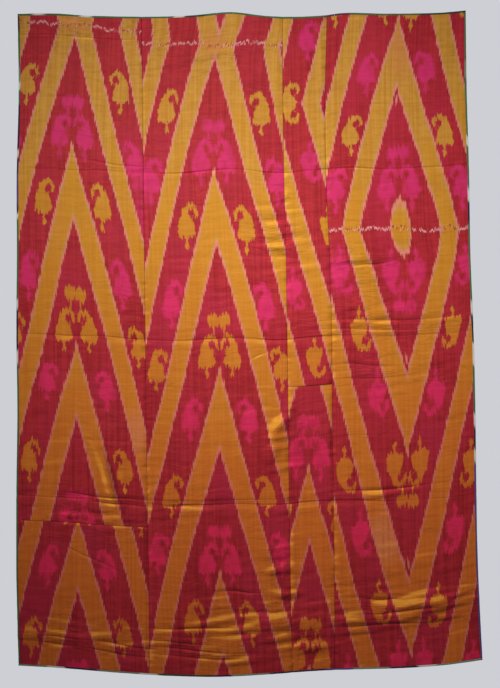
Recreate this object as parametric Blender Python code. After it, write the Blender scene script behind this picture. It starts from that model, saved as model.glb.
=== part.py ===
"""Woven ikat hanging: loom-width panels seamed side by side and bound at the edge.

Metres, +Z up. The face looks towards -Y, and the plane Y = 0 is the wall behind the cloth.
The origin is the middle of the top edge. The cloth is described by two lengths of its own:
across, from the middle of the top edge to the right, and down, along the warp from the top edge.
"""

import math
from collections import namedtuple

import bpy

# Driving dimensions
LENGTH = 2.04  # along the warp, from the top edge to the bottom edge
CLOTH = 0.002  # thickness of the woven panel with its turned allowances
GAP = 0.0003  # left between two pieces that meet
STAND_OFF = 0.0065  # from the wall to the middle of the cloth, between its folds
LEG = 0.007  # how far the binding reaches over the face and over the back
BINDING = 0.001  # thickness of the binding strip
EDGE_BAND = 0.009  # flat band along each edge, a little wider than the binding
SEAM_REACH = 0.012  # how far a seam draws the cloth in, on either side
SEAM_DRAW = 0.0013  # how far a seam lies behind the cloth around it
COLUMN = 0.064  # widest column of faces
ROW = 0.060  # tallest row of faces

FACE_RED = (0.36, 0.02, 0.05, 1)
STRIP_GOLD = (0.55, 0.26, 0.04, 1)
BINDING_GREEN = (0.05, 0.16, 0.06, 1)

# Where the side edges and the three long seams run, measured across at several distances down.
Run = namedtuple("Run", "down left seam_1 seam_2 seam_3 right")
RUNS = (
    Run(0.00, -0.696, -0.313, 0.122, 0.260, 0.688),
    Run(0.25, -0.693, -0.311, 0.123, 0.254, 0.691),
    Run(0.50, -0.699, -0.308, 0.127, 0.257, 0.698),
    Run(0.75, -0.698, -0.305, 0.133, 0.267, 0.702),
    Run(1.00, -0.700, -0.302, 0.137, 0.275, 0.712),
    Run(1.25, -0.697, -0.299, 0.140, 0.276, 0.718),
    Run(1.50, -0.700, -0.296, 0.143, 0.280, 0.721),
    Run(1.75, -0.700, -0.292, 0.147, 0.283, 0.726),
    Run(2.04, -0.693, -0.288, 0.153, 0.285, 0.740),
)

# The top edge is pinned where it is highest and sags between the pins. The bottom edge hangs in a bow.
Edge = namedtuple("Edge", "across height")
TOP_EDGE = (
    Edge(-0.70, -0.003),
    Edge(-0.58, -0.002),
    Edge(-0.48, -0.009),
    Edge(-0.30, -0.0135),
    Edge(-0.16, -0.009),
    Edge(-0.04, 0.002),
    Edge(0.07, -0.010),
    Edge(0.15, -0.0135),
    Edge(0.24, -0.009),
    Edge(0.32, 0.000),
    Edge(0.44, -0.003),
    Edge(0.60, 0.000),
    Edge(0.69, 0.008),
)
BOTTOM_EDGE = (
    Edge(-0.70, -2.016),
    Edge(-0.57, -2.023),
    Edge(-0.32, -2.042),
    Edge(-0.10, -2.050),
    Edge(0.06, -2.044),
    Edge(0.24, -2.032),
    Edge(0.51, -2.024),
    Edge(0.62, -2.016),
    Edge(0.74, -2.000),
)

# Two panels are pieced from two lengths. A join is given as its distance down at its left and right end.
Join = namedtuple("Join", "left right")
JOINS = {"left_join": Join(1.586, 1.585), "strip_join": Join(1.151, 1.151)}

# Soft folds, and the creases left by folding the cloth in four. Height is towards the viewer, so a
# crease is a trough, with a lip under it.
Fold = namedtuple("Fold", "across down half_length half_width height tilt")
LIP = 0.7  # height of a crease's lip, as a share of the depth of its trough
CREASES = (
    Fold(0.10, 0.480, 0.75, 0.012, -0.0026, 0.000),
    Fold(-0.05, 1.000, 0.80, 0.012, -0.0028, 0.004),
    Fold(0.00, 1.512, 0.85, 0.014, -0.0032, 0.010),
)
SOFT_FOLDS = (
    Fold(-0.30, 0.05, 0.20, 0.16, 0.0080, 0.0),
    Fold(0.15, 0.05, 0.10, 0.18, 0.0070, 0.0),
    Fold(0.46, 0.06, 0.11, 0.12, 0.0040, 0.0),
    Fold(-0.50, 0.74, 0.24, 0.20, 0.0050, 0.2),
    Fold(0.30, 0.76, 0.30, 0.22, 0.0060, -0.1),
    Fold(-0.42, 1.33, 0.16, 0.09, 0.0050, 0.8),
    Fold(0.10, 1.28, 0.11, 0.15, 0.0060, -0.6),
    Fold(0.52, 1.86, 0.26, 0.040, 0.0075, -0.06),
    Fold(0.50, 1.72, 0.24, 0.050, 0.0040, 0.0),
    Fold(0.10, 1.90, 0.16, 0.035, 0.0045, 0.0),
    Fold(-0.20, 2.00, 0.40, 0.12, 0.0085, 0.0),
    Fold(-0.52, 1.95, 0.15, 0.030, 0.0045, 0.05),
)

Piece = namedtuple("Piece", "name left right upper lower colour")
PIECES = (
    Piece("panel_left_upper", "left", "seam_1", None, "left_join", FACE_RED),
    Piece("panel_left_lower", "left", "seam_1", "left_join", None, FACE_RED),
    Piece("panel_centre", "seam_1", "seam_2", None, None, FACE_RED),
    Piece("strip_upper", "seam_2", "seam_3", None, "strip_join", STRIP_GOLD),
    Piece("strip_lower", "seam_2", "seam_3", "strip_join", None, STRIP_GOLD),
    Piece("panel_right", "seam_3", "right", None, None, FACE_RED),
)


def smooth_through(places, heights, at):
    """Height at a place on a smooth curve through the given points, with no overshoot."""
    at = min(max(at, places[0]), places[-1])
    i = max(k for k in range(len(places) - 1) if places[k] <= at)
    slopes = []
    for k in (i, i + 1):
        before = max(k - 1, 0)
        after = min(k + 1, len(places) - 1)
        slopes.append((heights[after] - heights[before]) / (places[after] - places[before]))
    span = places[i + 1] - places[i]
    t = (at - places[i]) / span
    start = (1 + 2 * t) * (1 - t) ** 2 * heights[i] + t * (1 - t) ** 2 * span * slopes[0]
    end = t * t * (3 - 2 * t) * heights[i + 1] - t * t * (1 - t) * span * slopes[1]
    return start + end


def line_across(name, down):
    """Where an edge or a long seam runs, at a distance down."""
    return smooth_through([r.down for r in RUNS], [getattr(r, name) for r in RUNS], down)


def edge_height(edge, across):
    return smooth_through([e.across for e in edge], [e.height for e in edge], across)


def fold_height(fold, across, down, lip=0.0):
    """A fold that fades along its length, and that tilt turns out of level. A crease has a lip under it."""
    along = (across - fold.across) / fold.half_length
    aside = (down - fold.down - fold.tilt * (across - fold.across)) / fold.half_width
    profile = math.exp(-aside * aside) - lip * math.exp(-((aside - 1.6) ** 2))
    return fold.height * profile * math.exp(-along * along)


def seam_draw(across, down):
    """How far the long seams draw the cloth back at this place."""
    nearest = min(abs(across - line_across(s, down)) for s in ("seam_1", "seam_2", "seam_3"))
    return SEAM_DRAW * max(0.0, 1 - nearest / SEAM_REACH)


def depth(across, down):
    """From the wall to the middle of the cloth."""
    folds = sum(fold_height(f, across, down) for f in SOFT_FOLDS)
    creases = sum(fold_height(f, across, down, LIP) for f in CREASES)
    return STAND_OFF + folds + creases - seam_draw(across, down)


def place(across, down):
    """The point in the middle of the cloth at a place given by the cloth's own lengths."""
    top = edge_height(TOP_EDGE, across)
    bottom = edge_height(BOTTOM_EDGE, across)
    return across, -depth(across, down), top + (bottom - top) * down / LENGTH


def divided(start, end, longest, band):
    """Distances from start to end, in equal steps no longer than longest, with a band at each end."""
    inner = end - start - 2 * band
    steps = max(1, math.ceil(inner / longest))
    return [start] + [start + band + inner * k / steps for k in range(steps + 1)] + [end]


def columns(piece):
    """Shares of the piece's width, 0 at its left side and 1 at its right side."""
    width = line_across(piece.right, LENGTH / 2) - line_across(piece.left, LENGTH / 2)
    return [a / width for a in divided(0, width, COLUMN, EDGE_BAND)]


def rows():
    """Distances down, with four rows at each crease."""
    downs = divided(0, LENGTH, ROW, EDGE_BAND)
    for crease in CREASES:
        half = crease.half_width
        near = [crease.down + half * steps for steps in (-1.6, 0.0, 1.6, 3.2)]
        clear = [d for d in downs if d < near[0] - half or d > near[-1] + half]
        downs = sorted(clear + near)
    return downs


def piece_rows(piece, share):
    """The rows of one piece at a share of its width: whole rows, cut off at its joins."""
    downs = rows()
    if piece.upper:
        join = JOINS[piece.upper]
        low = max(join) + EDGE_BAND
        cut = join.left + (join.right - join.left) * share + GAP / 2
        downs = [cut] + [d for d in downs if d > low]
    if piece.lower:
        join = JOINS[piece.lower]
        high = min(join) - EDGE_BAND
        cut = join.left + (join.right - join.left) * share - GAP / 2
        downs = [d for d in downs if d < high] + [cut]
    return downs


def piece_point(piece, share, down):
    """A point in the middle of the cloth, on a piece that stops half a gap short of its seams."""
    left = line_across(piece.left, down)
    right = line_across(piece.right, down)
    if piece.left.startswith("seam"):
        left += GAP / 2
    if piece.right.startswith("seam"):
        right -= GAP / 2
    return place(left + (right - left) * share, down)


def material(name, colour):
    made = bpy.data.materials.new(name)
    made.use_nodes = True
    shader = made.node_tree.nodes["Principled BSDF"]
    shader.inputs["Base Color"].default_value = colour
    shader.inputs["Roughness"].default_value = 0.55
    shader.inputs["Metallic"].default_value = 0.0
    return made


def add_object(name, points, faces, colour):
    mesh = bpy.data.meshes.new(name)
    mesh.from_pydata(points, [], faces)
    mesh.validate()
    made = bpy.data.objects.new(name, mesh)
    made.data.materials.append(material(name + "_cloth", colour))
    bpy.context.scene.collection.objects.link(made)
    return made


def add_sheet(piece):
    """One woven piece: a grid of points for its face, another for its back, and a rim."""
    shares = columns(piece)
    grid = [[piece_point(piece, s, d) for d in piece_rows(piece, s)] for s in shares]
    tall = len(grid[0])
    count = len(shares) * tall
    middle = [p for column in grid for p in column]
    points = [(x, y - CLOTH / 2, z) for x, y, z in middle]
    points += [(x, y + CLOTH / 2, z) for x, y, z in middle]
    faces = []
    for c in range(len(shares) - 1):
        for r in range(tall - 1):
            corner = c * tall + r
            cell = (corner, corner + 1, corner + tall + 1, corner + tall)
            faces.append(cell)
            faces.append(tuple(count + i for i in reversed(cell)))
    left_side = list(range(tall))
    right_side = list(range(count - tall, count))
    upper = list(range(0, count, tall))
    lower = list(range(tall - 1, count, tall))
    rim = left_side + lower[1:] + right_side[-2::-1] + upper[-2:0:-1]
    for here, after in zip(rim, rim[1:] + rim[:1]):
        faces.append((after, here, count + here, count + after))
    return add_object(piece.name, points, faces, piece.colour)


def binding_section(edge, inner):
    """Eight points of the folded strip at one place of the edge, given as the middle of the cloth there.

    edge is on the cloth's edge and inner is EDGE_BAND inside it.
    """
    clear = CLOTH / 2 + GAP
    outer = clear + BINDING
    reach = [(e - i) / EDGE_BAND for e, i in zip(edge, inner)]

    def at(inside, away):
        x, y, z = (e - r * inside for e, r in zip(edge, reach))
        return x, y + away, z

    past = -GAP
    rim = past - BINDING
    return [
        at(LEG, -outer),
        at(rim, -outer),
        at(rim, outer),
        at(LEG, outer),
        at(LEG, clear),
        at(past, clear),
        at(past, -clear),
        at(LEG, -clear),
    ]


def add_binding(name, stations):
    """A strip folded over an edge, from pairs of points: on the edge, and EDGE_BAND inside it."""
    sections = [binding_section(edge, inner) for edge, inner in stations]
    size = len(sections[0])
    points = [p for section in sections for p in section]
    faces = []
    for k in range(len(sections) - 1):
        for j in range(size):
            here = k * size + j
            after = k * size + (j + 1) % size
            faces.append((here + size, after + size, after, here))
    half = size // 2
    for first, flip in ((0, False), (len(points) - size, True)):
        for j in range(half - 1):
            cap = (first + j, first + j + 1, first + size - 2 - j, first + size - 1 - j)
            faces.append(cap[::-1] if flip else cap)
    return add_object(name, points, faces, BINDING_GREEN)


def between(a, b, share):
    return tuple(p + (q - p) * share for p, q in zip(a, b))


def level_stations(pieces, down, inner_down):
    """Stations along the top or the bottom edge, reaching past both side edges by the binding's own build."""
    stations = []
    for piece in pieces:
        for share in columns(piece):
            stations.append((piece_point(piece, share, down), piece_point(piece, share, inner_down)))
    past = GAP + BINDING
    for end, towards in ((0, -1), (-1, 1)):
        moved = tuple((x + towards * past, y, z) for x, y, z in stations[end])
        stations[end] = moved
    return stations


def side_stations(pieces, share, inner_share):
    """Stations down a side edge, from under the top binding to above the bottom binding."""
    stations = []
    for piece in pieces:
        for down in piece_rows(piece, share):
            stations.append((piece_point(piece, share, down), piece_point(piece, inner_share, down)))
    stop = (LEG + GAP) / EDGE_BAND
    first = tuple(between(a, b, stop) for a, b in zip(stations[0], stations[1]))
    last = tuple(between(a, b, stop) for a, b in zip(stations[-1], stations[-2]))
    return [first] + stations[1:-1] + [last]


def add_bindings():
    named = {p.name: p for p in PIECES}
    top = [named[n] for n in ("panel_left_upper", "panel_centre", "strip_upper", "panel_right")]
    bottom = [named[n] for n in ("panel_left_lower", "panel_centre", "strip_lower", "panel_right")]
    left = [named[n] for n in ("panel_left_upper", "panel_left_lower")]
    right = [named["panel_right"]]
    left_band = columns(left[0])[1]
    right_band = columns(right[0])[-2]
    add_binding("binding_top", level_stations(top, 0, EDGE_BAND))
    add_binding("binding_bottom", level_stations(bottom, LENGTH, LENGTH - EDGE_BAND)[::-1])
    add_binding("binding_left", side_stations(left, 0, left_band)[::-1])
    add_binding("binding_right", side_stations(right, 1, right_band))


def main():
    for old in list(bpy.data.objects):
        bpy.data.objects.remove(old)
    for piece in PIECES:
        add_sheet(piece)
    add_bindings()


main()
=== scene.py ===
"""Dressed model of the woven ikat hanging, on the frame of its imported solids.

Metres, +Z up. The face looks towards -Y. Two lengths of the cloth's own are used throughout: across,
from the middle of the top edge to the right, and down, along the warp from the top edge.
"""

import math
from collections import namedtuple
from functools import partialmethod

import bmesh
import bpy
import numpy as np
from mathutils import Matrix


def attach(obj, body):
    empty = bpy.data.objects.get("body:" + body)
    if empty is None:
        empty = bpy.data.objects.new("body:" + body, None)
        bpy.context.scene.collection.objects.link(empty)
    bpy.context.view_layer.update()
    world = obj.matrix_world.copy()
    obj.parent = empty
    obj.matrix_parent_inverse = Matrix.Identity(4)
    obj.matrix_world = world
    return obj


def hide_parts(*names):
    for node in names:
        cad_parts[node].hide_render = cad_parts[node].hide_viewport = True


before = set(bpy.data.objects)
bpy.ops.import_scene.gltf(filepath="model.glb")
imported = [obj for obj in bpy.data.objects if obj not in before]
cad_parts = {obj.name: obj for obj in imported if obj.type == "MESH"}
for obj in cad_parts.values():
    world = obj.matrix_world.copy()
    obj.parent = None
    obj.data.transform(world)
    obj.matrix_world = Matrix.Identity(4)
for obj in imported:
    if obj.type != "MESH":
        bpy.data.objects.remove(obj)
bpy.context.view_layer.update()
scene = bpy.context.scene


def table(kind, *rows):
    return tuple(kind(*row) for row in rows)


# The solids' own sizes and shape
LENGTH = 2.04
STAND_OFF = 0.0065
EDGE_BAND = 0.009
SEAM_REACH = 0.012
SEAM_DRAW = 0.0013
LIP = 0.7

Run = namedtuple("Run", "down left seam_1 seam_2 seam_3 right")
RUNS = table(
    Run, (0.0, -0.696, -0.313, 0.122, 0.26, 0.688), (0.25, -0.693, -0.311, 0.123, 0.254, 0.691),
    (0.5, -0.699, -0.308, 0.127, 0.257, 0.698), (0.75, -0.698, -0.305, 0.133, 0.267, 0.702),
    (1.0, -0.7, -0.302, 0.137, 0.275, 0.712), (1.25, -0.697, -0.299, 0.14, 0.276, 0.718),
    (1.5, -0.7, -0.296, 0.143, 0.28, 0.721), (1.75, -0.7, -0.292, 0.147, 0.283, 0.726),
    (2.04, -0.693, -0.288, 0.153, 0.285, 0.74),
)

Edge = namedtuple("Edge", "across height")
TOP_EDGE = table(
    Edge, (-0.7, -0.003), (-0.58, -0.002), (-0.48, -0.009), (-0.3, -0.0135), (-0.16, -0.009),
    (-0.04, 0.002), (0.07, -0.01), (0.15, -0.0135), (0.24, -0.009), (0.32, 0.0), (0.44, -0.003),
    (0.6, 0.0), (0.69, 0.008),
)
BOTTOM_EDGE = table(
    Edge, (-0.7, -2.016), (-0.57, -2.023), (-0.32, -2.042), (-0.1, -2.05), (0.06, -2.044), (0.24, -2.032),
    (0.51, -2.024), (0.62, -2.016), (0.74, -2.0),
)

Join = namedtuple("Join", "left right")
JOINS = {"left_join": Join(1.586, 1.585), "strip_join": Join(1.151, 1.151)}

Fold = namedtuple("Fold", "across down half_length half_width height tilt")
CREASES = table(
    Fold, (0.1, 0.48, 0.75, 0.012, -0.0026, 0.0), (-0.05, 1.0, 0.8, 0.012, -0.0028, 0.004),
    (0.0, 1.512, 0.85, 0.014, -0.0032, 0.01),
)
SOFT_FOLDS = table(
    Fold, (-0.3, 0.05, 0.2, 0.16, 0.008, 0.0), (0.15, 0.05, 0.1, 0.18, 0.007, 0.0),
    (0.46, 0.06, 0.11, 0.12, 0.004, 0.0), (-0.5, 0.74, 0.24, 0.2, 0.005, 0.2),
    (0.3, 0.76, 0.3, 0.22, 0.006, -0.1), (-0.42, 1.33, 0.16, 0.09, 0.005, 0.8),
    (0.1, 1.28, 0.11, 0.15, 0.006, -0.6), (0.52, 1.86, 0.26, 0.04, 0.0075, -0.06),
    (0.5, 1.72, 0.24, 0.05, 0.004, 0.0), (0.1, 1.9, 0.16, 0.035, 0.0045, 0.0),
    (-0.2, 2.0, 0.4, 0.12, 0.0085, 0.0), (-0.52, 1.95, 0.15, 0.03, 0.0045, 0.05),
)

# The visible cloth's own sizes
THICK = 0.0010  # of the woven cloth
SEAM_GAP = 0.0001  # left between two panels
ROW = 0.0040  # of the grid of points, down
COLUMN = 0.0062  # and across
LEG = 0.0048  # how far the binding reaches over the face and over the back
BINDING = 0.0007  # thickness of the binding strip
BINDING_STEP = 0.006  # between the points along a binding
CORNER = 0.0012  # how far the top and bottom bindings reach past the side edges
CLEAR = 0.0001  # between the cloth and the inside of the binding
DYE_BLEND = 0.0015  # half the stretch where two colours of a binding meet, as a share of its length
TURN_WEIGHT = 1.4  # of the cloth's turn to the left beside its lean upwards
LEAN = (0.05, 0.42)  # slopes from which the painted highlight and painted shade on the silk start, and at which they are full
SHARP = 0.0075  # narrower troughs than this get a sharp line: a groove in the bump and painted shade along it
MARK_FAR = 0.03  # farthest distance from a line that a point carries

# Wrinkles that show on their own. A wrinkle runs at angle degrees from level, falling to the right.
Wrinkle = namedtuple("Wrinkle", "across down half_length half_width height angle")
WRINKLES = table(
    Wrinkle, (-0.52, 0.066, 0.2, 0.0045, -0.001, 1), (-0.52, 0.052, 0.16, 0.005, 0.0007, 2),
    (-0.47, 1.69, 0.085, 0.0042, -0.0014, 22), (-0.47, 1.702, 0.08, 0.006, 0.001, 22),
    (-0.416, 1.445, 0.13, 0.015, 0.0068, 69), (-0.385, 1.45, 0.12, 0.014, -0.0036, 69),
    (-0.465, 1.43, 0.07, 0.012, 0.003, 55), (-0.389, 1.516, 0.075, 0.0045, -0.002, 3),
    (-0.205, 1.516, 0.05, 0.0045, -0.0018, 2), (-0.561, 1.943, 0.07, 0.0045, -0.002, 1),
    (-0.374, 1.953, 0.09, 0.005, -0.0024, 5), (-0.59, 1.964, 0.08, 0.005, -0.002, 2),
    (-0.397, 1.979, 0.09, 0.0045, -0.002, 5), (-0.149, 1.894, 0.13, 0.005, -0.0024, -1),
    (-0.195, 1.938, 0.09, 0.005, -0.002, 3), (-0.127, 1.962, 0.14, 0.005, -0.0024, 4),
    (-0.11, 1.984, 0.13, 0.005, -0.002, 3), (-0.003, 1.783, 0.06, 0.006, -0.003, 4),
    (0.048, 1.052, 0.024, 0.0035, -0.0012, -25), (0.05, 1.06, 0.026, 0.006, 0.0009, -25),
    (0.075, 0.604, 0.06, 0.012, 0.0034, -14), (0.08, 0.63, 0.055, 0.0085, -0.0022, -10),
    (0.13, 0.664, 0.09, 0.012, 0.0036, -7), (0.14, 0.694, 0.09, 0.009, -0.0026, -5),
    (0.135, 0.722, 0.095, 0.011, 0.0036, 6), (0.145, 0.748, 0.08, 0.0085, -0.0024, 8),
    (0.15, 0.78, 0.08, 0.011, 0.0028, 4), (0.118, 1.265, 0.065, 0.017, 0.005, -62),
    (0.092, 1.35, 0.05, 0.019, 0.0026, -50), (0.11, 1.69, 0.06, 0.011, -0.0026, 4),
    (0.11, 1.722, 0.055, 0.012, 0.0032, 4), (0.115, 1.792, 0.06, 0.011, 0.0044, 4),
    (0.115, 1.815, 0.07, 0.009, -0.0038, 2), (0.11, 1.85, 0.07, 0.008, -0.003, 3),
    (0.115, 1.884, 0.06, 0.011, 0.0044, 3), (0.105, 1.912, 0.08, 0.008, -0.003, 2),
    (0.421, 1.823, 0.07, 0.007, -0.0036, 3), (0.508, 1.841, 0.07, 0.011, 0.0055, -4),
    (0.477, 1.863, 0.12, 0.007, -0.0036, -3), (0.515, 1.885, 0.07, 0.009, 0.0042, -3),
    (0.45, 1.903, 0.14, 0.007, -0.003, -1), (0.345, 1.892, 0.055, 0.01, 0.0046, 6),
    (0.62, 1.835, 0.08, 0.012, 0.004, -12), (0.64, 1.868, 0.07, 0.008, -0.0026, -6),
    (0.44, 0.952, 0.19, 0.0055, -0.0012, 0), (0.43, 0.966, 0.17, 0.006, 0.0012, 0),
    (0.45, 0.982, 0.2, 0.0045, -0.0012, 1), (0.43, 0.993, 0.16, 0.006, 0.001, 1),
    (0.36, 1.08, 0.06, 0.006, 0.0012, 4), (0.37, 1.092, 0.08, 0.006, -0.0014, 2),
    (0.39, 1.118, 0.09, 0.006, 0.0012, -3), (0.4, 1.133, 0.1, 0.0055, -0.0012, -2),
    (0.4, 0.778, 0.06, 0.007, -0.0018, -8), (0.33, 0.765, 0.06, 0.009, 0.002, -8),
    (0.48, 0.702, 0.035, 0.008, 0.0018, 28), (-0.4, 0.455, 0.12, 0.006, -0.0011, 5),
    (-0.55, 0.36, 0.07, 0.006, 0.001, 6), (-0.1, 1.5, 0.26, 0.004, -0.001, 0),
    (-0.43, 1.497, 0.11, 0.006, -0.0026, 2), (0.43, 1.48, 0.14, 0.0065, -0.0026, -3),
    (0.4, 1.5, 0.13, 0.01, 0.0034, -3), (-0.57, 1.9, 0.11, 0.009, 0.002, 4),
    (-0.57, 1.925, 0.11, 0.008, -0.0018, 4), (0.2, 1.965, 0.08, 0.008, 0.002, -2),
    (0.2, 1.945, 0.08, 0.008, -0.002, -2),
)

# Where the cloth has more fine wrinkles than elsewhere, and where red dye bled to pink.
Patch = namedtuple("Patch", "across down half_across half_down strength")
LIVELY = table(
    Patch, (-0.5, 1.935, 0.28, 0.06, 0.9), (0.0, 1.91, 0.22, 0.11, 0.9), (0.115, 1.83, 0.06, 0.17, 1.0),
    (0.47, 1.86, 0.28, 0.085, 1.0), (0.215, 1.96, 0.09, 0.06, 0.8), (0.46, 0.965, 0.26, 0.05, 0.65),
    (0.44, 1.11, 0.2, 0.06, 0.5), (0.11, 0.69, 0.09, 0.13, 0.85), (0.4, 0.77, 0.12, 0.06, 0.6),
    (0.37, 0.9, 0.1, 0.14, 0.6), (-0.45, 0.05, 0.3, 0.05, 0.45), (-0.1, 0.11, 0.2, 0.08, 0.3),
    (-0.4, 1.56, 0.2, 0.09, 0.55), (0.1, 1.27, 0.06, 0.12, 0.5),
)
BLEEDS = table(
    Patch, (-0.314, 0.5, 0.03, 0.07, 0.9), (-0.318, 0.64, 0.018, 0.14, 0.85),
    (-0.3, 0.56, 0.04, 0.06, 0.6), (0.275, 0.52, 0.03, 0.06, 0.8), (0.29, 0.8, 0.04, 0.1, 0.8),
    (0.118, 0.52, 0.018, 0.12, 0.7), (0.69, 0.56, 0.03, 0.1, 0.5),
)
# Where red dye has tinged the gold.
STAINS = table(
    Patch, (0.443, 1.634, 0.055, 0.08, 1.0), (-0.329, 1.29, 0.036, 0.07, 0.9),
    (-0.6, 0.64, 0.06, 0.12, 0.3), (0.487, 0.098, 0.05, 0.12, 0.6), (-0.53, 0.028, 0.09, 0.032, 0.6),
    (-0.087, 0.096, 0.045, 0.05, 0.6),
)


def noise_field(across, down, pitch_across, pitch_down, seed):
    """Smooth seeded noise from -1 to 1 with its own pitch each way, in metres."""
    x = across / pitch_across + 40.0
    y = down / pitch_down + 40.0
    i = np.floor(x).astype(int)
    j = np.floor(y).astype(int)
    lattice = np.random.default_rng(seed).uniform(-1, 1, (1024, 1024))
    fx = x - i
    fy = y - j
    fx = fx * fx * (3 - 2 * fx)
    fy = fy * fy * (3 - 2 * fy)

    def at(a, b):
        return lattice[(i + a) % 1024, (j + b) % 1024]

    low = at(0, 0) * (1 - fx) + at(1, 0) * fx
    high = at(0, 1) * (1 - fx) + at(1, 1) * fx
    return low * (1 - fy) + high * fy


def smooth_through(places, heights, at):
    """Height on the smooth curve through the given points, at each of many places."""
    places = np.array(places, float)
    heights = np.array(heights, float)
    at = np.clip(np.asarray(at, float), places[0], places[-1])
    i = np.clip(np.searchsorted(places, at, side="right") - 1, 0, len(places) - 2)
    before = np.maximum(np.arange(len(places)) - 1, 0)
    after = np.minimum(np.arange(len(places)) + 1, len(places) - 1)
    slopes = (heights[after] - heights[before]) / (places[after] - places[before])
    span = places[i + 1] - places[i]
    t = (at - places[i]) / span
    start = (1 + 2 * t) * (1 - t) ** 2 * heights[i] + t * (1 - t) ** 2 * span * slopes[i]
    end = t * t * (3 - 2 * t) * heights[i + 1] - t * t * (1 - t) * span * slopes[i + 1]
    return start + end


def line_across(name, down):
    return smooth_through([r.down for r in RUNS], [getattr(r, name) for r in RUNS], down)


def edge_height(edge, across):
    return smooth_through([e.across for e in edge], [e.height for e in edge], across)


def fold_height(fold, across, down, lip=0.0):
    along = (across - fold.across) / fold.half_length
    aside = (down - fold.down - fold.tilt * (across - fold.across)) / fold.half_width
    profile = np.exp(-aside * aside) - lip * np.exp(-((aside - 1.6) ** 2))
    return fold.height * profile * np.exp(-along * along)


def crease_height(crease, across, down):
    """A crease as the solids have it, which comes and goes."""
    kept = 0.5 + 0.25 * noise_field(across, down * 0, 0.09, 1.0, int(crease.down * 100))
    return kept * fold_height(crease, across, down, LIP)


def crease_distance(crease, across, down):
    wander = 0.0035 * noise_field(across, down * 0, 0.11, 1.0, 11)
    return down - crease.down - crease.tilt * (across - crease.across) - wander


def wrinkle_place(wrinkle, across, down):
    """How far along a wrinkle, in its half lengths, and how far below its line, in metres."""
    turn = math.radians(wrinkle.angle)
    x = across - wrinkle.across
    y = down - wrinkle.down
    along = (x * math.cos(turn) + y * math.sin(turn)) / wrinkle.half_length
    aside = y * math.cos(turn) - x * math.sin(turn)
    return along, aside + 0.35 * wrinkle.half_width * np.sin(3.1 * along + wrinkle.down * 37)


def wrinkle_height(wrinkle, across, down):
    along, aside = wrinkle_place(wrinkle, across, down)
    return wrinkle.height * np.exp(-((aside / wrinkle.half_width) ** 2) - along**2)


def marks(across, down):
    """The nearest sharp line of a crease or wrinkle: how far below it a point lies, and its strength."""
    distance = np.full_like(across, MARK_FAR)
    strength = np.zeros_like(across)
    best = np.zeros_like(across)
    found = []
    for crease in CREASES:
        kept = 0.60 + 0.40 * noise_field(across, down * 0, 0.09, 1.0, int(crease.down * 100))
        along = (across - crease.across) / crease.half_length
        found.append((crease_distance(crease, across, down), kept * np.exp(-along * along)))
    for wrinkle in WRINKLES:
        if wrinkle.height < 0 and wrinkle.half_width < SHARP:
            along, aside = wrinkle_place(wrinkle, across, down)
            found.append((aside, min(1.0, -wrinkle.height / 0.0022) * np.exp(-along * along)))
    for aside, kept in found:
        weight = kept * np.exp(-((aside / 0.010) ** 2))
        closer = weight > best
        best = np.where(closer, weight, best)
        distance = np.where(closer, np.clip(aside, -MARK_FAR, MARK_FAR), distance)
        strength = np.where(closer, kept, strength)
    return distance, strength


def patches(table, across, down):
    """The strongest of some soft round patches at each place."""
    found = np.zeros_like(across)
    for patch in table:
        x = (across - patch.across) / patch.half_across
        y = (down - patch.down) / patch.half_down
        found = np.maximum(found, patch.strength * np.exp(-x * x - y * y))
    return found


def near_seams(across, down):
    """How far the nearest long seam is, in metres."""
    seams = ("seam_1", "seam_2", "seam_3")
    return np.minimum.reduce([np.abs(across - line_across(s, down)) for s in seams])


def near_joins(across, down):
    """How far the nearest cross seam is, in metres, or 1 outside the panels that have one."""
    far = np.ones_like(across)
    left = line_across("seam_1", down)
    share = (across + 0.70) / (left + 0.70)
    join = JOINS["left_join"]
    far = np.where(across < left, np.abs(down - join.left - (join.right - join.left) * share), far)
    inside = (across > line_across("seam_2", down)) & (across < line_across("seam_3", down))
    return np.where(inside, np.abs(down - JOINS["strip_join"].left), far)


def depth(across, down):
    """From the wall to the middle of the cloth."""
    seam = near_seams(across, down)
    height = STAND_OFF - SEAM_DRAW * np.clip(1 - seam / SEAM_REACH, 0, 1)
    height = height - 0.0009 * np.exp(-((near_joins(across, down) / 0.0035) ** 2))
    for fold in SOFT_FOLDS:
        height = height + fold_height(fold, across, down)
    for crease in CREASES:
        height = height + crease_height(crease, across, down)
    for wrinkle in WRINKLES:
        height = height + wrinkle_height(wrinkle, across, down)
    # Level ripples everywhere, puckers beside the seams, and an uneven rim beside the binding.
    calm = 0.55 + 0.45 * noise_field(across, down, 0.16, 0.13, 5)
    lively = patches(LIVELY, across, down)
    low = np.clip((down - 1.0) / 0.9, 0, 1)
    fine = noise_field(across, down, 0.070, 0.0110, 21)
    broad = noise_field(across, down + 0.12 * across, 0.110, 0.0165, 22)
    height = height + ((0.0006 + 0.0003 * low) * calm + 0.0009 * lively) * fine
    height = height + ((0.0008 + 0.0005 * low) * calm + 0.0021 * lively) * broad
    height = height + 0.0013 * noise_field(across, down, 0.19, 0.11, 23)
    pucker = np.exp(-seam / 0.028)
    height = height + 0.0010 * pucker * noise_field(across, down, 0.030, 0.0105, 24)
    rim = np.minimum(across - line_across("left", down), line_across("right", down) - across)
    rim = np.minimum(rim, np.minimum(down, LENGTH - down))
    height = height + 0.0007 * np.exp(-rim / 0.022) * noise_field(across, down, 0.013, 0.013, 25)
    return np.maximum(height, 0.0030)


def place(across, down):
    """Points in the middle of the cloth, as three arrays."""
    top = edge_height(TOP_EDGE, across)
    bottom = edge_height(BOTTOM_EDGE, across)
    return across, -depth(across, down), top + (bottom - top) * down / LENGTH


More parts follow.
